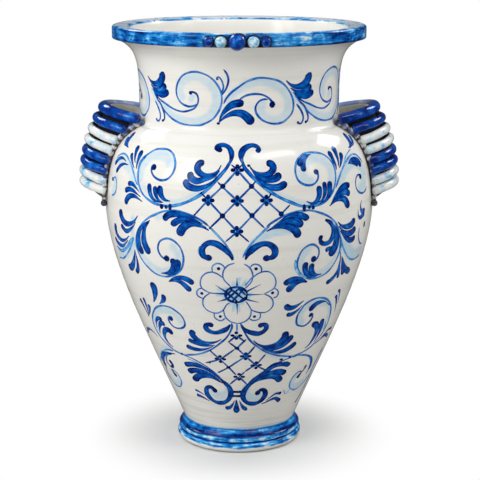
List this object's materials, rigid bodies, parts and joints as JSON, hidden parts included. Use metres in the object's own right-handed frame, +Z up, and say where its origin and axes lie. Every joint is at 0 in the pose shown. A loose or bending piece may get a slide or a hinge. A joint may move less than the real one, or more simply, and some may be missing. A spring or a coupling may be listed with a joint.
{
  "type": "two handled ceramic jar",
  "caption": "Large egg-shaped glazed jar with a flared neck, banded rim, ringed foot and ribbed pocket handles, painted with scrollwork.",
  "frame": {"origin": "middle of the foot, on the surface that the jar stands on", "axes": "+Z up the axis of the jar, -Y the front with the row of pearls, +X and -X the handles"},
  "size_m": [0.3788, 0.3168, 0.5],
  "materials": {
    "white_glaze": "glossy warm white tin glaze, brush-painted in cobalt",
    "band_glaze": "sponged mid blue under clear glaze",
    "foot_glaze": "brushed bright blue under clear glaze, darker in the grooves",
    "cobalt_glaze": "deep cobalt under thick clear glaze",
    "pale_glaze": "white glaze with thin blue brushed over it",
    "bare_clay": "unglazed clay, dull",
    "seam_glaze": "white glaze rubbed with dark wash and touches of blue"
  },
  "bodies": {
    "root": {"foot_ring": "foot_glaze", "thrown_body": "white_glaze", "thrown_neck": "white_glaze", "rim_band": "band_glaze", "rim_pearl_middle": "cobalt_glaze", "rim_pearl_left_1": "pale_glaze", "rim_pearl_right_1": "pale_glaze", "rim_pearl_left_2": "cobalt_glaze", "rim_pearl_right_2": "cobalt_glaze", "left_handle_slab": "bare_clay", "left_handle_coil_1": "cobalt_glaze", "left_handle_coil_2": "cobalt_glaze", "left_handle_coil_3": "pale_glaze", "left_handle_coil_4": "pale_glaze", "left_handle_coil_5": "cobalt_glaze", "left_handle_coil_6": "cobalt_glaze", "left_handle_coil_7": "pale_glaze", "left_handle_coil_8": "pale_glaze", "left_handle_front_seam": "seam_glaze", "left_handle_back_seam": "seam_glaze", "right_handle_slab": "bare_clay", "right_handle_coil_1": "cobalt_glaze", "right_handle_coil_2": "cobalt_glaze", "right_handle_coil_3": "pale_glaze", "right_handle_coil_4": "pale_glaze", "right_handle_coil_5": "cobalt_glaze", "right_handle_coil_6": "cobalt_glaze", "right_handle_coil_7": "pale_glaze", "right_handle_coil_8": "pale_glaze", "right_handle_front_seam": "seam_glaze", "right_handle_back_seam": "seam_glaze"}
  },
  "joints": []
}
